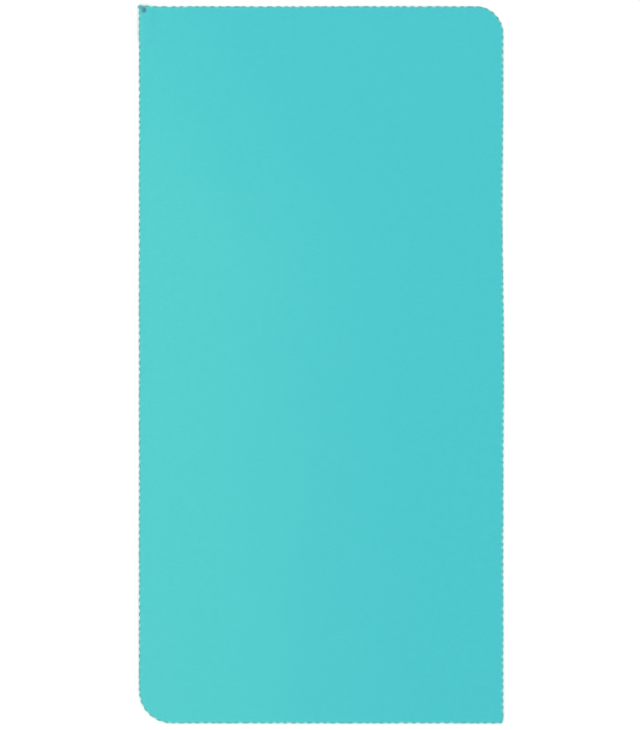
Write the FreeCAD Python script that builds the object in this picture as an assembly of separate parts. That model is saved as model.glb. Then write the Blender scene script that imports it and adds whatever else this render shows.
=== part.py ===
import FreeCAD, Part
import math
import os

# Quick dry travel towel, laid flat on its back with its hang loop snapped shut.
#
# Millimetres. +X runs across the towel, +Y along it, +Z up from the surface it lies on. The origin is in
# the middle of that surface. The snap corner is at -X, +Y, and the hang strap lies under it, so that corner
# of the cloth is lifted by the height of the closed snap. The edge threads are flush bands let into the rim.
# The corner can be turned over to reach the strap, so the cloth and its threads are each made in two nodes,
# which meet at the line where it turns.

# The cloth as it is cut and sewn
WIDTH = 698.0
LENGTH = 1374.0
CLOTH_THICKNESS = 0.6
SNAP_CORNER_RADIUS = 2.0
TOP_RIGHT_RADIUS = 51.5
BOTTOM_LEFT_RADIUS = 62.0
BOTTOM_RIGHT_RADIUS = 6.5

# The three-thread overlocked edge
THREAD_LAYER = 0.15
LOOPER_WIDTH = 2.0
NEEDLE_LINE_WIDTH = 0.4

# The hang strap: one length of webbing, sewn in at the top edge and folded back under itself
STRAP_WIDTH = 12.7
STRAP_THICKNESS = 0.8
STRAP_REACH = 55.0
STRAP_SEAM_INSET = 0.5
STRAP_END_INSET = 1.5
HINGE_GAP = 0.3

# The ring-spring press stud, from the surface up
SNAP_FROM_LEFT = 9.5
SNAP_FROM_TOP = 8.3
POST_FLANGE_RADIUS = 4.5
POST_FLANGE_HEIGHT = 0.6
POST_TUBE_RADIUS = 1.3
POST_TUBE_BORE = 0.9
POST_TUBE_HEIGHT = 1.4
STUD_FLANGE_RADIUS = 4.2
STUD_FLANGE_HEIGHT = 0.4
STUD_NECK_RADIUS = 1.65
STUD_HEAD_RADIUS = 1.9
STUD_HEAD_HEIGHT = 1.1
STUD_ROOF = 0.25
SNAP_GAP = 0.3
SOCKET_RADIUS = 4.3
SOCKET_HEIGHT = 1.9
SOCKET_BORE = 2.05
SOCKET_CHAMBER = 2.9
SOCKET_LIP = 0.4
SOCKET_ROOF = 0.3
SPRING_RADIUS = 2.45
SPRING_WIRE_RADIUS = 0.3
SPRING_GAP_ANGLE = 50.0
BARREL_RADIUS = 1.5
BARREL_BORE = 1.1
BARREL_FLARE_RADIUS = 2.3
BARREL_FLARE_HEIGHT = 0.2
CAP_RADIUS = 4.9
CAP_HEIGHT = 1.3
CAP_RIM_HEIGHT = 0.6
METAL_EDGE_RADIUS = 0.12

# How the cloth comes down from the lifted corner, and where the corner turns over: distances from the
# corner along its diagonal
LIFT_FLAT_TO = 54.0
LIFT_DOWN_BY = 88.0
TURN_LINE = 96.0

# Heights that follow from the stack above
STRAP_LOW_Z = POST_FLANGE_HEIGHT
STUD_Z = STRAP_LOW_Z + STRAP_THICKNESS
SOCKET_Z = STUD_Z + STUD_FLANGE_HEIGHT + SNAP_GAP
STRAP_HIGH_Z = SOCKET_Z + SOCKET_HEIGHT
LIFT = STRAP_HIGH_Z + STRAP_THICKNESS
CAP_Z = LIFT + CLOTH_THICKNESS

LEFT = -WIDTH / 2
TOP = LENGTH / 2
SNAP_X = LEFT + SNAP_FROM_LEFT
SNAP_Y = TOP - SNAP_FROM_TOP
FOLD_Y = TOP - STRAP_REACH
FOLD_Z = (STRAP_LOW_Z + LIFT) / 2
FOLD_INNER_RADIUS = STRAP_HIGH_Z - FOLD_Z
FOLD_OUTER_RADIUS = LIFT - FOLD_Z

UP = FreeCAD.Vector(0, 0, 1)


def at(x, y, z=0.0):
    return FreeCAD.Vector(x, y, z)


def snap_disc(radius, low, high):
    """A round slug on the snap's axis."""
    return Part.makeCylinder(radius, high - low, at(SNAP_X, SNAP_Y, low), UP)


def corner(x, y, radius, start_degrees):
    """The quarter arc of an outline's corner, counter-clockwise, or None where the corner is sharp."""
    if radius <= 0:
        return None
    centre = at(x - math.copysign(radius, x), y - math.copysign(radius, y))
    circle = Part.Circle(centre, UP, radius)
    start = math.radians(start_degrees)
    return Part.Arc(circle, start, start + math.pi / 2).toShape()


def outline(inset):
    """The towel's plan, brought in by inset, as a tall prism."""
    x = WIDTH / 2 - inset
    y = LENGTH / 2 - inset
    corners = [
        (x, y, TOP_RIGHT_RADIUS - inset, 0),
        (-x, y, SNAP_CORNER_RADIUS - inset, 90),
        (-x, -y, BOTTOM_LEFT_RADIUS - inset, 180),
        (x, -y, BOTTOM_RIGHT_RADIUS - inset, 270),
    ]
    arcs = [corner(*each) for each in corners]
    edges = []
    for index, arc in enumerate(arcs):
        before = arcs[index - 1]
        from_x, from_y = corners[index - 1][:2]
        to_x, to_y = corners[index][:2]
        start = before.valueAt(before.LastParameter) if before else at(from_x, from_y)
        end = arc.valueAt(arc.FirstParameter) if arc else at(to_x, to_y)
        edges.append(Part.makeLine(start, end))
        if arc:
            edges.append(arc)
    face = Part.Face(Part.Wire(edges))
    face.translate(at(0, 0, -1))
    return face.extrude(at(0, 0, CAP_Z + 2))


def lift_line(height):
    """The edges of the cloth's side view, height above its underside, from the corner inwards."""
    run = LIFT_DOWN_BY - LIFT_FLAT_TO
    slope = 2 * math.atan(LIFT / run)
    radius = run / (2 * math.sin(slope))
    over = at(LIFT_FLAT_TO, 0, LIFT - radius)
    under = at(LIFT_DOWN_BY, 0, radius)
    upper = radius + height
    lower = radius - height
    half = slope / 2

    def on(centre, reach, angle):
        return centre + at(reach * math.sin(angle), 0, reach * math.cos(angle))

    bend = [on(over, upper, turn) for turn in (0, half, slope)]
    flare = [on(under, lower, math.pi + turn) for turn in (slope, half, 0)]
    inner_end = at(WIDTH + LENGTH, 0, height)
    outer_end = at(-WIDTH, 0, LIFT + height)
    return [
        Part.makeLine(outer_end, bend[0]),
        Part.Arc(*bend).toShape(),
        Part.Arc(*flare).toShape(),
        Part.makeLine(flare[2], inner_end),
    ]


def to_corner(shape):
    """Moves a shape drawn along +X from the origin to run from the snap corner along its diagonal."""
    shape.rotate(at(0, 0), UP, -45)
    shape.translate(at(LEFT, TOP))
    return shape


def layer(low, high):
    """A sheet between two heights above the cloth's underside, everywhere, with the lift at the corner."""
    lower = lift_line(low)
    upper = lift_line(high)
    ends = [
        Part.makeLine(lower[-1].Vertexes[-1].Point, upper[-1].Vertexes[-1].Point),
        Part.makeLine(lower[0].Vertexes[0].Point, upper[0].Vertexes[0].Point),
    ]
    face = Part.Face(Part.Wire(Part.__sortEdges__(lower + upper + ends)))
    depth = WIDTH + LENGTH
    face.translate(at(0, depth, 0))
    return to_corner(face.extrude(at(0, -2 * depth, 0)))


def beside_turn_line(start, end):
    """A block over the stretch of the diagonal from start to end, across the whole towel."""
    depth = WIDTH + LENGTH
    return to_corner(Part.makeBox(end - start, 2 * depth, CAP_Z + 2, at(start, -depth, -1)))


def main_part(shape):
    return shape.common(beside_turn_line(TURN_LINE + HINGE_GAP / 2, WIDTH + LENGTH))


def corner_part(shape):
    return shape.common(beside_turn_line(-WIDTH, TURN_LINE - HINGE_GAP / 2))


def edge_band(outer, inner, low, high):
    """A ring round the whole towel between two insets and two heights."""
    return outline(outer).cut(outline(inner)).common(layer(low, high))


def upper_looper_thread():
    return edge_band(0, LOOPER_WIDTH, CLOTH_THICKNESS - THREAD_LAYER, CLOTH_THICKNESS)


def lower_looper_thread():
    return edge_band(0, LOOPER_WIDTH, 0, THREAD_LAYER)


def needle_thread():
    inner = LOOPER_WIDTH + NEEDLE_LINE_WIDTH
    return edge_band(LOOPER_WIDTH, inner, CLOTH_THICKNESS - THREAD_LAYER, CLOTH_THICKNESS)


def towel_cloth():
    cloth = outline(0).common(layer(0, CLOTH_THICKNESS))
    for thread in (upper_looper_thread(), lower_looper_thread(), needle_thread()):
        cloth = cloth.cut(thread)
    return cloth.cut(snap_disc(BARREL_RADIUS, 0, CAP_Z))


def strap_run(start_y, end_y, low_z):
    corner_point = at(SNAP_X - STRAP_WIDTH / 2, start_y, low_z)
    return Part.makeBox(STRAP_WIDTH, end_y - start_y, STRAP_THICKNESS, corner_point)


def hang_strap():
    """The run against the cloth's back, from the seam in the top edge to the fold."""
    run = strap_run(FOLD_Y, TOP - STRAP_SEAM_INSET, STRAP_HIGH_Z)
    return run.cut(snap_disc(BARREL_RADIUS, 0, CAP_Z))


def hang_strap_fold():
    """The turn of the webbing between its two runs."""
    ring = Part.makeCylinder(
        FOLD_OUTER_RADIUS, STRAP_WIDTH, at(SNAP_X - STRAP_WIDTH / 2, FOLD_Y, FOLD_Z), at(1, 0)
    )
    bore = Part.makeCylinder(
        FOLD_INNER_RADIUS, STRAP_WIDTH, at(SNAP_X - STRAP_WIDTH / 2, FOLD_Y, FOLD_Z), at(1, 0)
    )
    outer_half = Part.makeBox(
        STRAP_WIDTH, FOLD_OUTER_RADIUS, LIFT, at(SNAP_X - STRAP_WIDTH / 2, FOLD_Y - FOLD_OUTER_RADIUS)
    )
    return ring.cut(bore).common(outer_half)


def hang_strap_free_end():
    """The run that lies on the surface and carries the stud."""
    run = strap_run(FOLD_Y + HINGE_GAP, TOP - STRAP_END_INSET, STRAP_LOW_Z)
    return run.cut(snap_disc(POST_TUBE_RADIUS, 0, CAP_Z))


def snap_post():
    flange = snap_disc(POST_FLANGE_RADIUS, 0, POST_FLANGE_HEIGHT)
    flange = flange.makeFillet(METAL_EDGE_RADIUS, flange.Edges)
    tube_top = STUD_Z + POST_TUBE_HEIGHT
    tube = snap_disc(POST_TUBE_RADIUS, POST_FLANGE_HEIGHT / 2, tube_top)
    bore = snap_disc(POST_TUBE_BORE, POST_FLANGE_HEIGHT, tube_top)
    return flange.fuse(tube).cut(bore)


def snap_stud():
    flange = snap_disc(STUD_FLANGE_RADIUS, STUD_Z, STUD_Z + STUD_FLANGE_HEIGHT)
    flange = flange.makeFillet(METAL_EDGE_RADIUS, flange.Edges)
    head_top = SOCKET_Z + STUD_HEAD_HEIGHT
    neck = snap_disc(STUD_NECK_RADIUS, STUD_Z + STUD_FLANGE_HEIGHT / 2, head_top)
    ball = Part.makeSphere(STUD_HEAD_RADIUS, at(SNAP_X, SNAP_Y, head_top - STUD_HEAD_RADIUS / 2))
    head = ball.common(snap_disc(STUD_HEAD_RADIUS, SOCKET_Z, head_top))
    bore = snap_disc(POST_TUBE_RADIUS, STUD_Z, head_top - STUD_ROOF)
    return flange.fuse([neck, head]).cut(bore).removeSplitter()


def snap_socket():
    shell = snap_disc(SOCKET_RADIUS, SOCKET_Z, STRAP_HIGH_Z)
    shell = shell.makeFillet(METAL_EDGE_RADIUS, shell.Edges)
    chamber = snap_disc(SOCKET_CHAMBER, SOCKET_Z + SOCKET_LIP, STRAP_HIGH_Z - SOCKET_ROOF)
    mouth = snap_disc(SOCKET_BORE, SOCKET_Z, SOCKET_Z + SOCKET_LIP)
    rivet_hole = snap_disc(BARREL_RADIUS, SOCKET_Z, STRAP_HIGH_Z)
    return shell.cut(chamber).cut(mouth).cut(rivet_hole)


def snap_spring():
    """The split ring of wire in the socket, which closes on the stud's neck."""
    height = SOCKET_Z + SOCKET_LIP + SPRING_WIRE_RADIUS
    return Part.makeTorus(
        SPRING_RADIUS,
        SPRING_WIRE_RADIUS,
        at(SNAP_X, SNAP_Y, height),
        UP,
        0,
        360,
        360 - SPRING_GAP_ANGLE,
    )


def snap_cap():
    """The domed cap on the towel's face, with the barrel that rivets it to the socket."""
    sagitta = CAP_HEIGHT - CAP_RIM_HEIGHT
    dome_radius = (CAP_RADIUS**2 + sagitta**2) / (2 * sagitta)
    top = CAP_Z + CAP_HEIGHT
    ball = Part.makeSphere(dome_radius, at(SNAP_X, SNAP_Y, top - dome_radius))
    head = ball.common(snap_disc(CAP_RADIUS, CAP_Z, top))
    level = METAL_EDGE_RADIUS / 10
    rims = [edge for edge in head.Edges if edge.Length > CAP_RADIUS and edge.BoundBox.ZLength < level]
    head = head.makeFillet(METAL_EDGE_RADIUS, rims)
    foot = STRAP_HIGH_Z - SOCKET_ROOF - BARREL_FLARE_HEIGHT
    barrel = snap_disc(BARREL_RADIUS, foot, CAP_Z + CAP_RIM_HEIGHT / 2)
    flare = snap_disc(BARREL_FLARE_RADIUS, foot, foot + BARREL_FLARE_HEIGHT)
    bore = snap_disc(BARREL_BORE, foot, CAP_Z)
    return head.fuse([barrel, flare]).cut(bore)


# Each of these is cut in two at the line where the corner turns over
CLOTH_AND_THREADS = {
    "cloth": towel_cloth,
    "needle_thread": needle_thread,
    "upper_looper_thread": upper_looper_thread,
    "lower_looper_thread": lower_looper_thread,
}
STRAP_AND_SNAP = {
    "hang_strap": hang_strap,
    "hang_strap_fold": hang_strap_fold,
    "hang_strap_free_end": hang_strap_free_end,
    "snap_cap": snap_cap,
    "snap_socket": snap_socket,
    "snap_spring": snap_spring,
    "snap_stud": snap_stud,
    "snap_post": snap_post,
}


def write(name, shape):
    os.makedirs("parts", exist_ok=True)
    shape.Solids[0].exportStep(f"parts/{name}.step")
    print(f"{name}: {len(shape.Solids)} solid, {shape.Volume:.2f} mm3, valid {shape.isValid()}")


for name, make in CLOTH_AND_THREADS.items():
    whole = make()
    write(f"towel_{name}", main_part(whole))
    write(f"corner_{name}", corner_part(whole))
for name, make in STRAP_AND_SNAP.items():
    write(name, make())
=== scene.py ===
import math

import bpy
import numpy as np
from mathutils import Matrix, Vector
from mathutils.geometry import delaunay_2d_cdt


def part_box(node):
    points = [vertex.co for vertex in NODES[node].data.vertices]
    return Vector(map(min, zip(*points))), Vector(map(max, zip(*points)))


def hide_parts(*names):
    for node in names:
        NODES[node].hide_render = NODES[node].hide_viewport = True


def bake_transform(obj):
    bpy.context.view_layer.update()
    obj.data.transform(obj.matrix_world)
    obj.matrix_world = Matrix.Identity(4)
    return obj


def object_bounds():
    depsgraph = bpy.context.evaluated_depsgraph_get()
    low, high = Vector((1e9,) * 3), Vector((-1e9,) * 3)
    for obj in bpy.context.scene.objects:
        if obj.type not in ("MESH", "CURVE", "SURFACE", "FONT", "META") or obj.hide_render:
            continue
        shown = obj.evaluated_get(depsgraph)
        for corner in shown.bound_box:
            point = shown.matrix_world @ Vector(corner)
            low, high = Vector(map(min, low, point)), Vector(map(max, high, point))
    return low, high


# A suede microfibre travel towel, laid flat on its back. Metres throughout, in the CAD model's frame:
# +X across the towel, +Y along it, +Z up. The snap corner is at -X, +Y.

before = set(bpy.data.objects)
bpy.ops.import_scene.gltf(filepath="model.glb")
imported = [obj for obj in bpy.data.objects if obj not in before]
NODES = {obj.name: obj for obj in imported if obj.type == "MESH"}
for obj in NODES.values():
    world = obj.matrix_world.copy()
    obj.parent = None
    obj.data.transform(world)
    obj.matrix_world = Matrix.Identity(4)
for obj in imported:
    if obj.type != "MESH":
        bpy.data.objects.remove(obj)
CAD_LOW, CAD_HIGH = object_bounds()

MM = 0.001

# ---- sizes that follow from the frame ----
WIDTH = CAD_HIGH.x - CAD_LOW.x
LENGTH = CAD_HIGH.y - CAD_LOW.y
# how far the waves and the threads stand proud of the cloth's smooth outline, at its sides and its ends
PROUD_SIDES = 1.0 * MM
PROUD_ENDS = 1.3 * MM
HALF_WIDTH = WIDTH / 2 - PROUD_SIDES
HALF_LENGTH = LENGTH / 2 - PROUD_ENDS
CAP_LOW, CAP_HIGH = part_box("snap_cap")
SNAP_X = (CAP_LOW.x + CAP_HIGH.x) / 2
STRAP_LOW, STRAP_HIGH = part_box("hang_strap")
FREE_LOW, FREE_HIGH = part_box("hang_strap_free_end")
LIFT = STRAP_HIGH.z

# ---- the cloth ----
CLOTH_THICKNESS = 0.6 * MM
# radii of the corners, clockwise from the one after the top edge, which the snap corner begins
TOP_RIGHT_RADIUS = 51.5 * MM
BOTTOM_RIGHT_RADIUS = 6.5 * MM
BOTTOM_LEFT_RADIUS = 62 * MM
SNAP_CORNER_RADIUS = 2 * MM

# the right side's slight bow: drawn in above this place on it and standing out below, both by this much.
# The place and its distance from either are parts of the towel's length.
BOW = 1.3 * MM
BOW_PLACE = 0.35
BOW_SPREAD = 0.1
BOW_REACH = 8 * MM

# ---- the wavy ("lettuce") edge ----
WAVE_ON_SHORT_SIDES = 15.4 * MM
WAVE_ON_LONG_SIDES = 13.1 * MM
WAVE_HEIGHT = 2.3 * MM
WAVE_PULL = 2.2 * MM
WAVE_REACH = 5.5 * MM
PULL_REACH = 4.0 * MM
# the wave's height, as a part of a full crest, where the edge is pulled neither in nor out
EVEN_CREST = 0.45
# the snap stiffens the edge near it: the part of the waves that it takes away, and how far off
SNAP_STIFFENS = 0.75
STIFFENED_REACH = 14 * MM

# ---- the overlock ----
STITCH = 1.5 * MM
SEAM_WIDTH = 2.2 * MM
THREAD_RADIUS = 0.23 * MM
THREAD_SIDES = 5
# how uneven the stitches are, in parts of a stitch and of the seam's width, and in thread radii for height
UNEVEN_PLACE = 0.05
UNEVEN_HEIGHT = 0.15
RIM_RAISE = 0.6 * MM
RIM_REACH = 6.0 * MM

# the stitches heaped on the snap corner where the seam starts and ends: from, to, outwards and up, in mm
SNAP_CORNER_HEAP = [
    (-4, 24, 1.2, 0.2),
    (-5.5, 8, 1.7, 0.6),
    (-6, 9, 0.2, 0.9),
    (-3, 6, 2.1, 0.3),
]

# ---- how the cloth lies ----
# it starts down from the strap this far past the fold, and reaches the floor after this much more
DRAPE_MARGIN = 2 * MM
DRAPE_REACH = 24 * MM
UNDULATION = 1.6 * MM

# ---- the webbing ----
RIB_PITCH = 0.9 * MM
POINTS_PER_RIB = 4
RIB_DEPTH = 0.08 * MM
SELVEDGE = 0.1 * MM
SEALED_END = 0.5 * MM
YARN_PITCH = 0.55 * MM

# ---- colours, linear ----
# painted light: the cloth is painted from the first of these teals on its left to the second on its right, in
# place of the light's falloff across it
CLOTH_PAINTED_LIT_COLOUR = (0.0765, 0.537, 0.535, 1.0)
CLOTH_COLOUR = (0.0593, 0.494, 0.530, 1.0)
THREAD_COLOUR = (0.21, 0.76, 0.69)
STRAP_COLOUR = (0.07, 0.16, 0.17)
SNAP_COLOUR = (0.105, 0.236, 0.284)
SPRING_COLOUR = (0.55, 0.55, 0.56)

# ---- the picture ----
VIEW_HEIGHT = 1.3985
VIEW_CENTRE = (-2.1 * MM, -0.35 * MM)
WORLD_STRENGTH = 1.0
KEY_POWER = 34
FILL_POWER = 14

# ---- how densely the cloth is meshed: (inset from the edge, spacing along it) ----
RINGS = [
    (0.0, 1.5 * MM),
    (0.6 * MM, 1.5 * MM),
    (1.5 * MM, 1.6 * MM),
    (2.8 * MM, 1.8 * MM),
    (4.4 * MM, 2.0 * MM),
    (6.5 * MM, 2.2 * MM),
    (9.0 * MM, 2.4 * MM),
    (11.5 * MM, 2.2 * MM),
    (14.0 * MM, 2.2 * MM),
    (16.5 * MM, 2.2 * MM),
    (19.0 * MM, 2.2 * MM),
]
GRID_START = 21 * MM
GRID_STEP = 8 * MM
# rows across the snap corner, parallel to the line it turns over on
CORNER_ROW_STEP = 1.5 * MM
CORNER_POINT_STEP = 3.0 * MM
CORNER_REACH = 112 * MM


# ---------------------------------------------------------------- the outline


def outline_runs():
    """The outline clockwise from the snap corner, as (length, start point, start heading, radius or None)."""
    radii = [TOP_RIGHT_RADIUS, BOTTOM_RIGHT_RADIUS, BOTTOM_LEFT_RADIUS, SNAP_CORNER_RADIUS]
    sides = [2 * HALF_WIDTH, 2 * HALF_LENGTH, 2 * HALF_WIDTH, 2 * HALF_LENGTH]
    point = np.array([-HALF_WIDTH + SNAP_CORNER_RADIUS, HALF_LENGTH])
    heading = 0.0
    runs = []
    for side, before, after in zip(sides, radii[3:] + radii[:3], radii):
        forward = np.array([math.cos(heading), math.sin(heading)])
        outward = np.array([-math.sin(heading), math.cos(heading)])
        length = side - before - after
        runs.append((length, point, heading, None))
        point = point + length * forward
        runs.append((after * math.pi / 2, point, heading, after))
        point = point + after * (forward - outward)
        heading -= math.pi / 2
    return runs


RUNS = outline_runs()
PERIMETER = sum(run[0] for run in RUNS)


def rim(s):
    """The outline's points and outward directions at distances s along it."""
    s = np.mod(s, PERIMETER)
    points = np.zeros((len(s), 2))
    outwards = np.zeros((len(s), 2))
    start = 0.0
    for length, first, heading, radius in RUNS:
        on = s >= start
        along = s[on] - start
        turned = np.full(len(along), heading)
        if radius:
            turned -= along / radius
        outward = np.stack([-np.sin(turned), np.cos(turned)], 1)
        if radius:
            centre = first - radius * np.array([-math.sin(heading), math.cos(heading)])
            points[on] = centre + radius * outward
        else:
            points[on] = first + along[:, None] * np.array([math.cos(heading), math.sin(heading)])
        outwards[on] = outward
        start += length
    return points, outwards


def inset_of(points):
    """How far inside the outline each point is."""
    right = points[:, 0] > 0
    up = points[:, 1] > 0
    top_radius = np.where(right, TOP_RIGHT_RADIUS, SNAP_CORNER_RADIUS)
    bottom_radius = np.where(right, BOTTOM_RIGHT_RADIUS, BOTTOM_LEFT_RADIUS)
    radius = np.where(up, top_radius, bottom_radius)[:, None]
    beyond = np.abs(points) - np.array([HALF_WIDTH, HALF_LENGTH]) + radius
    outside = np.linalg.norm(np.maximum(beyond, 0), axis=1)
    inside = np.minimum(beyond.max(1), 0)
    return radius[:, 0] - outside - inside


# ---------------------------------------------------------------- the lie of the cloth


def around(s, cycles, shift):
    """A slow variation that closes on itself after a whole number of cycles round the towel."""
    return np.sin(2 * math.pi * cycles * s / PERIMETER + shift)


def bow(s):
    """How far the edge bows outwards at s."""
    right_side_start = RUNS[0][0] + RUNS[1][0]
    down = np.mod(s, PERIMETER) - right_side_start
    t = (down / LENGTH - BOW_PLACE) / BOW_SPREAD
    return BOW * t * np.exp((1 - t * t) / 2)


def wave_counter():
    """A function of s that counts the edge's waves, closer together along the long sides."""
    stations = np.linspace(0, PERIMETER, 4000)
    middles = (stations[1:] + stations[:-1]) / 2
    _, outward = rim(middles)
    on_short_side = np.abs(outward[:, 1])
    spacing = WAVE_ON_LONG_SIDES + (WAVE_ON_SHORT_SIDES - WAVE_ON_LONG_SIDES) * on_short_side
    counted = np.concatenate([[0], np.cumsum(np.diff(stations) / spacing)])
    counted *= round(counted[-1]) / counted[-1]
    return lambda s: np.interp(np.mod(s, PERIMETER), stations, counted)


WAVES_UP_TO = wave_counter()


def wave(s):
    """How high the edge stands at s, from 0 in a trough to about 1 on a crest."""
    drift = 0.11 * around(s, 23, 1.3) + 0.09 * around(s, 41, 0.4) + 0.05 * around(s, 97, 2.2)
    crest = 0.5 - 0.5 * np.cos(2 * math.pi * (WAVES_UP_TO(s) + drift))
    strength = 0.82 + 0.22 * around(s, 17, 0.4) + 0.2 * around(s, 53, 2.1) + 0.12 * around(s, 131, 4.0)
    points, _ = rim(s)
    from_snap = np.linalg.norm(points - np.array([-HALF_WIDTH, HALF_LENGTH]), axis=1)
    stiffened = SNAP_STIFFENS * np.exp(-((from_snap / STIFFENED_REACH) ** 2))
    return crest * strength * (1 - stiffened)


def over_strap(points):
    """How far the folded strap and the snap lift the cloth, from 0 on the floor to 1 on the strap."""
    x_beyond = np.abs(points[:, 0] - SNAP_X) - (STRAP_HIGH.x - STRAP_LOW.x) / 2
    y_beyond = STRAP_LOW.y - DRAPE_MARGIN - points[:, 1]
    gap = np.hypot(np.maximum(x_beyond, 0), np.maximum(y_beyond, 0))
    t = np.clip(gap / DRAPE_REACH, 0, 1)
    return 1 - t**3 * (10 - 15 * t + 6 * t * t)


def undulation(points):
    """The slow rise and fall of cloth that was smoothed out by hand."""
    x, y = points[:, 0], points[:, 1]
    slow = np.sin(9.1 * x + 4.3 * y + 0.7) * np.sin(5.7 * y - 6.1 * x + 2.0)
    quick = np.sin(21.0 * x - 13.0 * y + 1.1) * np.sin(17.0 * y + 11.0 * x + 0.2)
    return UNDULATION * (0.5 + 0.35 * slow + 0.15 * quick)


def lay(points, s, inset):
    """Where the middle of the cloth's thickness lies, for flat points near s and inset from the edge."""
    crest = wave(s)
    _, outward = rim(s)
    pull = WAVE_PULL * (crest - EVEN_CREST) * np.exp(-inset / PULL_REACH)
    pull -= bow(s) * np.exp(-inset / BOW_REACH)
    moved = points - outward * pull[:, None]
    lifted = over_strap(points)
    flat = undulation(points) + RIM_RAISE * np.exp(-inset / RIM_REACH)
    waved = WAVE_HEIGHT * crest * np.exp(-inset / WAVE_REACH)
    height = CLOTH_THICKNESS / 2 + lifted * LIFT + (1 - lifted) * flat + waved
    return np.column_stack([moved, height])


def on_edge(s, inset, height):
    """Points at s along the edge, inset from it and height above the middle of the cloth."""
    step = 0.05 * MM

    def middle(s, inset):
        base, outward = rim(s)
        return lay(base - outward * inset[:, None], s, inset)

    here = middle(s, inset)
    along = middle(s + step, inset) - middle(s - step, inset)
    inward = middle(s, inset + step) - middle(s, inset - step)
    up = np.cross(inward, along)
    up /= np.linalg.norm(up, axis=1)[:, None]
    up *= np.sign(up[:, 2:3])
    along /= np.linalg.norm(along, axis=1)[:, None]
    return here + up * height[:, None], along, up


# ---------------------------------------------------------------- making meshes


def mesh_object(name, points, faces, smooth=True):
    mesh = bpy.data.meshes.new(name)
    mesh.from_pydata(points.tolist(), [], [tuple(face) for face in faces])
    mesh.validate()
    if smooth:
        mesh.shade_smooth()
    made = bpy.data.objects.new(name, mesh)
    bpy.context.scene.collection.objects.link(made)
    return made


def apply_modifiers(piece):
    """Bakes the piece's modifiers into its mesh."""
    depsgraph = bpy.context.evaluated_depsgraph_get()
    mesh = bpy.data.meshes.new_from_object(piece.evaluated_get(depsgraph))
    piece.modifiers.clear()
    piece.data = mesh


def add_attribute(piece, name, kind, values):
    attribute = piece.data.attributes.new(name, kind, "POINT")
    key = "vector" if kind == "FLOAT_VECTOR" else "value"
    attribute.data.foreach_set(key, np.asarray(values, np.float32).ravel())


def unit(vectors):
    return vectors / np.linalg.norm(vectors, axis=1)[:, None]


def tube(path, reference, dip, closed=True):
    """A round thread along path, as points, faces and each point's dip. reference never runs along path."""
    sides = THREAD_SIDES
    ahead = np.roll(path, -1, 0) - np.roll(path, 1, 0)
    if not closed:
        ahead[0] = path[1] - path[0]
        ahead[-1] = path[-1] - path[-2]
    first = unit(np.cross(ahead, reference))
    second = unit(np.cross(ahead, first))
    angles = 2 * math.pi * np.arange(sides) / sides
    ring = np.cos(angles)[None, :, None] * first[:, None] + np.sin(angles)[None, :, None] * second[:, None]
    points = (path[:, None] + THREAD_RADIUS * ring).reshape(-1, 3)
    count = len(path)
    rows = np.arange(count if closed else count - 1)
    here = rows[:, None] * sides + np.arange(sides)
    there = ((rows + 1) % count)[:, None] * sides + np.arange(sides)
    faces = np.stack([here, np.roll(here, -1, 1), np.roll(there, -1, 1), there], 2).reshape(-1, 4).tolist()
    if not closed:
        faces.append(list(range(sides))[::-1])
        faces.append(list(range((count - 1) * sides, count * sides)))
    return points, faces, np.repeat(dip, sides)


def thread_object(name, tubes):
    """Several tubes as one object, with its dips as an attribute."""
    points = np.concatenate([points for points, _, _ in tubes])
    faces = []
    start = 0
    for some, some_faces, _ in tubes:
        faces += [[index + start for index in face] for face in some_faces]
        start += len(some)
    piece = mesh_object(name, points, faces)
    add_attribute(piece, "dip", "FLOAT", np.concatenate([dip for _, _, dip in tubes]))
    return piece


# ---------------------------------------------------------------- the cloth


def ring_points(inset, spacing):
    """Points inset from the edge all round, with their distances along it."""
    count = round(PERIMETER / spacing)
    s = np.arange(count) * PERIMETER / count
    base, outward = rim(s)
    points = base - outward * inset
    inside = inset_of(points) >= inset - 0.001 * MM
    return points[inside], s[inside]


def grid_points():
    """An inner grid, and finer rows across the snap corner, where the cloth is lifted and turns over."""
    corner = np.array([-HALF_WIDTH, HALF_LENGTH])
    inward = np.array([1, -1]) / math.sqrt(2)
    across = np.array([1, 1]) / math.sqrt(2)
    x = np.arange(-HALF_WIDTH + GRID_STEP / 2, HALF_WIDTH, GRID_STEP)
    y = np.arange(-HALF_LENGTH + GRID_STEP / 2, HALF_LENGTH, GRID_STEP)
    grid = np.stack(np.meshgrid(x, y), 2).reshape(-1, 2)
    grid = grid[(grid - corner) @ inward > CORNER_REACH + GRID_STEP / 3]
    rows = np.arange(0, CORNER_REACH, CORNER_ROW_STEP)
    places = np.arange(-CORNER_REACH, CORNER_REACH, CORNER_POINT_STEP)
    row, place = np.meshgrid(rows, places)
    fine = corner + row.reshape(-1, 1) * inward + place.reshape(-1, 1) * across
    points = np.concatenate([grid, fine])
    return points[inset_of(points) > GRID_START]


def make_cloth():
    rings = [ring_points(inset, spacing) for inset, spacing in RINGS]
    insets = [np.full(len(points), inset) for (inset, _), (points, _) in zip(RINGS, rings)]
    inner = grid_points()
    points = np.concatenate([ring[0] for ring in rings] + [inner])
    s = np.concatenate([ring[1] for ring in rings] + [np.zeros(len(inner))])
    inset = np.concatenate(insets + [inset_of(inner)])
    rim_count = len(rings[0][0])
    border = [(index, (index + 1) % rim_count) for index in range(rim_count)]
    flat = [Vector(point) for point in points]
    made, _, faces, origins, _, _ = delaunay_2d_cdt(flat, border, [], 1, 1e-7)
    source = np.array([origin[0] for origin in origins])
    piece = mesh_object("towel_sheet", lay(points[source], s[source], inset[source]), faces)
    add_attribute(piece, "flat", "FLOAT_VECTOR", np.column_stack([points[source], np.zeros(len(source))]))
    add_attribute(piece, "inset", "FLOAT", inset[source])
    shell = piece.modifiers.new("thickness", "SOLIDIFY")
    shell.thickness = CLOTH_THICKNESS
    shell.offset = 0
    apply_modifiers(piece)
    return piece


# ---------------------------------------------------------------- the overlock threads

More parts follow.
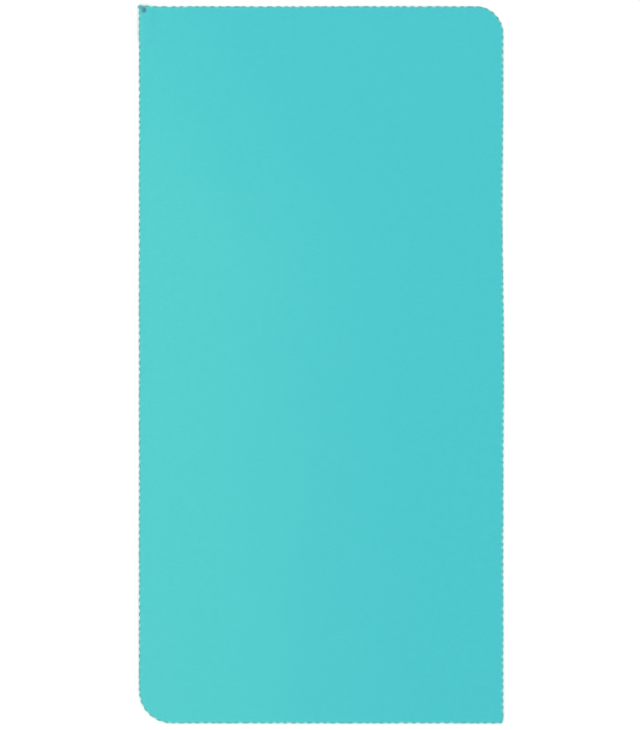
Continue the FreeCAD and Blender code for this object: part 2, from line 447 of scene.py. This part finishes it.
# One stitch of each thread, as (part of the stitch, inset as a part of the seam's width, height above the
# middle of the cloth in thread radii)
UPPER_LOOP = [
    (0.00, -0.10, 0.3),
    (0.12, 0.08, 2.2),
    (0.28, 0.50, 2.7),
    (0.44, 0.96, 2.3),
    (0.58, 0.98, 2.3),
    (0.74, 0.50, 2.8),
    (0.90, 0.08, 2.2),
]
LOWER_LOOP = [
    (0.50, -0.12, -0.2),
    (0.62, 0.08, -2.2),
    (0.78, 0.50, -2.5),
    (0.94, 0.96, -2.3),
    (1.08, 0.98, -2.3),
    (1.24, 0.50, -2.5),
    (1.40, 0.08, -2.2),
]
NEEDLE_STITCH = [
    (0.00, 1.06, 0.8),
    (0.20, 1.06, 2.6),
    (0.50, 1.06, 3.0),
    (0.80, 1.06, 2.6),
]


def stitched(pattern, start, stop, shift=0.0, raised=0.0, closed=True):
    """A thread that repeats a stitch's pattern from start to stop along the edge."""
    count = round((stop - start) / STITCH)
    pitch = (stop - start) / count
    wobble = np.random.default_rng(7).uniform(-1, 1, (count, 3))
    part, inset, height = np.array(pattern).T
    s = start + pitch * (np.arange(count)[:, None] + part + UNEVEN_PLACE * wobble[:, :1])
    inward = SEAM_WIDTH * (inset + UNEVEN_PLACE * wobble[:, 1:2]) - shift
    above = THREAD_RADIUS * (height + UNEVEN_HEIGHT * wobble[:, 2:]) + raised
    path, along, up = on_edge(s.ravel(), inward.ravel(), above.ravel())
    reference = up if pattern is NEEDLE_STITCH else along
    # each point's dip, one less the wave's height, sets the threads' painted shade
    return tube(path, reference, 1 - wave(s.ravel()), closed)


def thread_tails():
    """The ends of the seam's threads, left a few millimetres long at the snap corner."""
    corner_point = np.array([-HALF_WIDTH, HALF_LENGTH, LIFT + CLOTH_THICKNESS])
    upward = [(2.2, -0.8, 0.1), (1.6, 1.2, 0.5), (1.3, 3.0, 0.4), (1.9, 4.8, -0.4), (2.9, 6.0, -1.6)]
    sideways = [(0.9, -1.9, -0.1), (-0.4, -1.2, 0.2), (-1.6, -0.9, -0.3), (-2.4, -1.2, -1.2)]
    tails = []
    for points in (upward, sideways):
        fine = np.linspace(0, len(points) - 1, 6 * len(points))
        offsets = [np.interp(fine, range(len(points)), offset) for offset in zip(*points)]
        path = smooth_path(corner_point + MM * np.column_stack(offsets))
        upright = np.tile([0.0, 0.0, 1.0], (len(path), 1))
        # painted shade: the tails take a full dip, so they are painted at the threads' darkest
        tails.append(tube(path, upright, np.ones(len(path)), closed=False))
    return tails


def smooth_path(path):
    """Rounds off a path's corners, leaving its ends where they are."""
    for _ in range(12):
        path[1:-1] = (path[:-2] + 2 * path[1:-1] + path[2:]) / 4
    return path


def make_threads():
    upper = [stitched(UPPER_LOOP, 0, PERIMETER)]
    for start, stop, shift, raised in SNAP_CORNER_HEAP:
        upper.append(stitched(UPPER_LOOP, start * MM, stop * MM, shift * MM, raised * MM, closed=False))
    upper += thread_tails()
    lower = [stitched(LOWER_LOOP, 0, PERIMETER)]
    needle = [stitched(NEEDLE_STITCH, 0, PERIMETER)]
    return {
        "upper_looper": thread_object("upper_looper_stitches", upper),
        "lower_looper": thread_object("lower_looper_stitches", lower),
        "needle": thread_object("needle_stitches", needle),
    }


# ---------------------------------------------------------------- the hang strap


def make_strap():
    """The ribbed webbing, down the towel's back, round the fold and back to the stud."""
    thickness = STRAP_HIGH.z - STRAP_LOW.z
    upper_z = (STRAP_HIGH.z + STRAP_LOW.z) / 2
    lower_z = (FREE_HIGH.z + FREE_LOW.z) / 2
    fold_radius = (upper_z - lower_z) / 2
    upper_run = STRAP_HIGH.y - PROUD_ENDS - STRAP_LOW.y
    lower_run = FREE_HIGH.y - STRAP_LOW.y
    turn = math.pi * fold_radius
    total = upper_run + turn + lower_run
    count = round(total / RIB_PITCH) * POINTS_PER_RIB
    along = np.linspace(0, total, count + 1)
    angle = np.clip((along - upper_run) / fold_radius, 0, math.pi)
    straight = np.where(along < upper_run, upper_run - along, np.maximum(along - upper_run - turn, 0))
    y = STRAP_LOW.y + straight - fold_radius * np.sin(angle)
    z = (upper_z + lower_z) / 2 + fold_radius * np.cos(angle)
    out = np.column_stack([-np.sin(angle), np.cos(angle)])
    rib = np.abs(np.sin(math.pi * along / RIB_PITCH))
    from_end = np.minimum(along, total - along) / SEALED_END
    sealed = np.sqrt(np.clip(from_end, 0.05, 1))
    half_thickness = (thickness / 2 - RIB_DEPTH * (1 - rib)) * sealed
    half_width = (STRAP_HIGH.x - STRAP_LOW.x) / 2 - SELVEDGE * (1 - rib)
    sides = 28
    theta = 2 * math.pi * np.arange(sides) / sides
    squareness = 0.22
    across = np.sign(np.cos(theta)) * np.abs(np.cos(theta)) ** squareness
    deep = np.sign(np.sin(theta)) * np.abs(np.sin(theta)) ** (2 * squareness)
    points = np.zeros((count + 1, sides, 3))
    points[:, :, 0] = SNAP_X + half_width[:, None] * across
    points[:, :, 1] = y[:, None] + (half_thickness * out[:, 0])[:, None] * deep
    points[:, :, 2] = z[:, None] + (half_thickness * out[:, 1])[:, None] * deep
    rows = np.arange(count)[:, None] * sides
    here = rows + np.arange(sides)
    beside = rows + (np.arange(sides) + 1) % sides
    faces = np.stack([here, beside, beside + sides, here + sides], 2).reshape(-1, 4).tolist()
    faces.append(list(range(sides))[::-1])
    faces.append(list(range(count * sides, (count + 1) * sides)))
    piece = mesh_object("hang_strap_webbing", points.reshape(-1, 3), faces)
    beside_middle = np.broadcast_to(points[:, :, 0] - SNAP_X, (count + 1, sides))
    down_length = np.broadcast_to(along[:, None], (count + 1, sides))
    woven = np.stack([beside_middle, down_length, np.zeros_like(down_length)], 2)
    add_attribute(piece, "woven", "FLOAT_VECTOR", woven.reshape(-1, 3))
    return piece


# ---------------------------------------------------------------- materials


class Look:
    """A node material, with short calls for the textures that it needs."""

    def __init__(self, name):
        self.material = bpy.data.materials.new(name)
        self.material.use_nodes = True
        self.tree = self.material.node_tree
        self.shader = self.tree.nodes["Principled BSDF"]

    def node(self, kind, **settings):
        made = self.tree.nodes.new(kind)
        for key, value in settings.items():
            setattr(made, key, value)
        return made

    def feed(self, socket, value):
        if isinstance(value, bpy.types.NodeSocket):
            self.tree.links.new(value, socket)
        else:
            socket.default_value = value

    def place(self, attribute=None, stretch=(1, 1, 1)):
        """Coordinates in metres, from a point attribute or from the object, stretched."""
        if attribute:
            source = self.node("ShaderNodeAttribute", attribute_name=attribute).outputs["Vector"]
        else:
            source = self.node("ShaderNodeTexCoord").outputs["Object"]
        mapping = self.node("ShaderNodeMapping")
        self.feed(mapping.inputs["Vector"], source)
        mapping.inputs["Scale"].default_value = stretch
        return mapping.outputs["Vector"]

    def noise(self, place, size, detail=3.0, roughness=0.55):
        """Noise whose features are about size metres across."""
        made = self.node("ShaderNodeTexNoise")
        self.feed(made.inputs["Vector"], place)
        made.inputs["Scale"].default_value = 1 / size
        made.inputs["Detail"].default_value = detail
        made.inputs["Roughness"].default_value = roughness
        return made.outputs["Fac"]

    def ranged(self, value, low, high, to_low=0.0, to_high=1.0):
        made = self.node("ShaderNodeMapRange", interpolation_type="SMOOTHSTEP")
        for socket, item in zip(made.inputs, (value, low, high, to_low, to_high)):
            self.feed(socket, item)
        return made.outputs["Result"]

    def maths(self, operation, *values):
        made = self.node("ShaderNodeMath", operation=operation)
        for socket, value in zip(made.inputs, values):
            self.feed(socket, value)
        return made.outputs["Value"]

    def mix(self, factor, first, second):
        made = self.node("ShaderNodeMix", data_type="RGBA")
        self.feed(made.inputs["Factor"], factor)
        self.feed(made.inputs["A"], first)
        self.feed(made.inputs["B"], second)
        return made.outputs["Result"]

    def times(self, colour, factor):
        """A colour made lighter or darker by a value."""
        made = self.node("ShaderNodeVectorMath", operation="SCALE")
        self.feed(made.inputs["Vector"], colour)
        self.feed(made.inputs["Scale"], factor)
        return made.outputs["Vector"]

    def bump(self, height, distance, strength):
        made = self.node("ShaderNodeBump")
        self.feed(made.inputs["Height"], height)
        made.inputs["Distance"].default_value = distance
        made.inputs["Strength"].default_value = strength
        return made.outputs["Normal"]

    def set(self, **inputs):
        for name, value in inputs.items():
            self.feed(self.shader.inputs[name.replace("_", " ")], value)


def scaled(colour, factor):
    return (*[channel * factor for channel in colour[:3]], 1.0)


def suede_microfibre():
    look = Look("suede_microfibre")
    flat = look.place("flat")
    brushed = look.place("flat", (1.0, 0.3, 1.0))
    clouds = look.noise(flat, 110 * MM, 3)
    patches = look.noise(flat, 14 * MM, 4)
    nap = look.noise(brushed, 1.3 * MM, 4, 0.65)
    fibre = look.noise(brushed, 0.35 * MM, 2, 0.6)
    across = look.node("ShaderNodeSeparateXYZ")
    look.feed(across.inputs["Vector"], flat)
    # painted light falloff: the tone leans to the lighter teal on the left and the darker one on the right,
    # is painted darker towards the top, and slow clouds vary it at random
    painted_falloff = look.maths("MULTIPLY_ADD", clouds, 0.16, across.outputs["X"])
    painted_falloff = look.maths("ADD", painted_falloff, look.ranged(across.outputs["Y"], 0.15, 0.75, 0.0, 0.3))
    tone = look.mix(look.ranged(painted_falloff, -0.28, 0.36), CLOTH_PAINTED_LIT_COLOUR, CLOTH_COLOUR)
    mottle = look.ranged(patches, 0.3, 0.75, 0.99, 1.015)
    mottle = look.maths("MULTIPLY", mottle, look.ranged(nap, 0.35, 0.7, 1.02, 0.95))
    inset = look.node("ShaderNodeAttribute", attribute_name="inset").outputs["Fac"]
    # painted sheen: the cloth 2.5 to 8 mm in from its edge is painted up to 6 % lighter
    painted_rim_sheen = look.ranged(inset, 2.5 * MM, 8 * MM, 1.06, 1.0)
    tone = look.times(tone, look.maths("MULTIPLY", mottle, painted_rim_sheen))
    height = look.maths("ADD", nap, look.maths("MULTIPLY", fibre, 0.5))
    look.set(Base_Color=tone, Roughness=look.ranged(nap, 0.3, 0.7, 0.82, 0.95))
    look.set(Normal=look.bump(height, 0.12 * MM, 0.35), Specular_IOR_Level=0.2)
    look.set(Sheen_Weight=0.12, Sheen_Roughness=0.5, Sheen_Tint=(0.75, 0.95, 0.95, 1.0))
    return look.material


def overlock_thread():
    look = Look("overlock_thread")
    place = look.place()
    fuzz = look.noise(place, 0.25 * MM, 2)
    lint = look.noise(place, 4 * MM, 3)
    tone = look.mix(look.ranged(fuzz, 0.3, 0.7), scaled(THREAD_COLOUR, 0.85), scaled(THREAD_COLOUR, 1.15))
    dip = look.node("ShaderNodeAttribute", attribute_name="dip").outputs["Fac"]
    # painted light and shade: the threads are painted darker where the edge dips to the floor into shade, and
    # lighter where it rises on the crests
    tone = look.times(tone, look.ranged(dip, 0.2, 0.9, 1.12, 0.87))
    tone = look.mix(look.ranged(lint, 0.4, 0.75, 0.0, 0.4), tone, scaled(CLOTH_COLOUR, 0.8))
    look.set(Base_Color=tone, Roughness=0.72, Specular_IOR_Level=0.3)
    look.set(Normal=look.bump(fuzz, 0.06 * MM, 0.5), Sheen_Weight=0.1)
    return look.material


def ribbed_webbing():
    look = Look("ribbed_webbing")
    woven = look.place("woven")
    parts = look.node("ShaderNodeSeparateXYZ")
    look.feed(parts.inputs["Vector"], woven)
    ribs = look.maths("DIVIDE", parts.outputs["Y"], RIB_PITCH)
    rib = look.maths("ABSOLUTE", look.maths("SINE", look.maths("MULTIPLY", ribs, math.pi)))
    shifted = look.maths("MULTIPLY", look.maths("FLOOR", ribs), 0.5)
    yarns = look.maths("ADD", look.maths("DIVIDE", parts.outputs["X"], YARN_PITCH), shifted)
    yarn = look.maths("ABSOLUTE", look.maths("SINE", look.maths("MULTIPLY", yarns, math.pi)))
    height = look.maths("MULTIPLY", look.ranged(rib, 0.0, 0.8), look.ranged(yarn, 0.0, 0.7, 0.45, 1.0))
    fibre = look.noise(look.place("woven", (1.0, 0.3, 1.0)), 0.15 * MM, 3)
    wear = look.noise(woven, 7 * MM, 3)
    # painted shade: the webbing is painted darker in the grooves between its ribs and yarns, and lighter on
    # their tops
    tone = look.mix(height, scaled(STRAP_COLOUR, 0.4), scaled(STRAP_COLOUR, 1.15))
    tone = look.times(tone, look.ranged(fibre, 0.3, 0.7, 0.85, 1.15))
    tone = look.mix(look.ranged(wear, 0.5, 0.8, 0.0, 0.2), tone, scaled(STRAP_COLOUR, 1.7))
    bumps = look.maths("MULTIPLY_ADD", fibre, 0.25, height)
    look.set(Base_Color=tone, Roughness=look.ranged(fibre, 0.3, 0.7, 0.6, 0.85))
    look.set(Normal=look.bump(bumps, 0.1 * MM, 0.6), Sheen_Weight=0.1)
    return look.material


def plated_metal(name, colour, roughness):
    look = Look(name)
    place = look.place()
    scratch = look.noise(look.place(None, (1.0, 7.0, 1.0)), 1.2 * MM, 4, 0.7)
    cloud = look.noise(place, 2.5 * MM, 3)
    tone = look.mix(look.ranged(cloud, 0.35, 0.7), scaled(colour, 0.93), scaled(colour, 1.07))
    look.set(Base_Color=tone, Metallic=1.0)
    look.set(Roughness=look.ranged(scratch, 0.3, 0.7, roughness - 0.08, roughness + 0.1))
    look.set(Normal=look.bump(scratch, 0.01 * MM, 0.4))
    return look.material


def pale_floor():
    look = Look("pale_floor")
    grain = look.noise(look.place(), 0.4, 3)
    look.set(Base_Color=look.mix(grain, (0.93, 0.93, 0.93, 1), (0.95, 0.95, 0.95, 1)), Roughness=0.9)
    look.set(Specular_IOR_Level=0.1)
    return look.material


def use(piece, material):
    piece.data.materials.clear()
    piece.data.materials.append(material)
    return piece


# ---------------------------------------------------------------- the stage


def make_camera():
    """Looks straight down at the towel, its length up the picture."""
    data = bpy.data.cameras.new("camera")
    data.lens = 85
    data.sensor_width = 36
    camera = bpy.data.objects.new("camera", data)
    bpy.context.scene.collection.objects.link(camera)
    distance = VIEW_HEIGHT * data.lens / data.sensor_width
    camera.location = (VIEW_CENTRE[0], VIEW_CENTRE[1], distance)
    bpy.context.scene.camera = camera


def make_floor():
    """A plain square, just clear of the towel's back."""
    size = 8.0
    clear = 0.1 * MM
    corners = size * np.array([[-1, -1, 0], [1, -1, 0], [1, 1, 0], [-1, 1, 0]]) / 2
    floor = mesh_object("floor", corners - np.array([0, 0, clear]), [(0, 1, 2, 3)], smooth=False)
    use(floor, pale_floor())


def area_light(name, location, size, power):
    data = bpy.data.lights.new(name, "AREA")
    data.size = size
    data.energy = power
    light = bpy.data.objects.new(name, data)
    light.location = location
    light.rotation_euler = (-Vector(location)).to_track_quat("-Z", "Y").to_euler()
    bpy.context.scene.collection.objects.link(light)


def make_lights():
    world = bpy.data.worlds.new("studio")
    world.use_nodes = True
    world.node_tree.nodes["Background"].inputs["Color"].default_value = (1, 1, 1, 1)
    world.node_tree.nodes["Background"].inputs["Strength"].default_value = WORLD_STRENGTH
    bpy.context.scene.world = world
    area_light("key", (-2.6, 1.6, 3.2), 2.0, KEY_POWER)
    area_light("fill", (2.8, -1.4, 3.0), 2.5, FILL_POWER)
    bpy.context.scene.view_settings.view_transform = "Standard"


# ---------------------------------------------------------------- putting it together

make_camera()
make_floor()
make_lights()

cloth = use(make_cloth(), suede_microfibre())
threads = make_threads()
thread_look = overlock_thread()
for thread in threads.values():
    use(thread, thread_look)
strap = use(make_strap(), ribbed_webbing())
snap_look = plated_metal("gunmetal_plate", SNAP_COLOUR, 0.5)
for node in ("snap_cap", "snap_socket", "snap_stud", "snap_post"):
    use(NODES[node], snap_look)
use(NODES["snap_spring"], plated_metal("spring_wire", SPRING_COLOUR, 0.25))

# Where the corner turns over: the cloth and its threads bend between the two bodies
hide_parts("towel_cloth", "corner_cloth")
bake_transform(cloth)
for name, thread in threads.items():
    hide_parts(f"towel_{name}_thread", f"corner_{name}_thread")
    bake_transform(thread)

# The strap bends at its fold, from the run against the cloth to the run that carries the stud
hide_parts("hang_strap", "hang_strap_fold", "hang_strap_free_end")
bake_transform(strap)
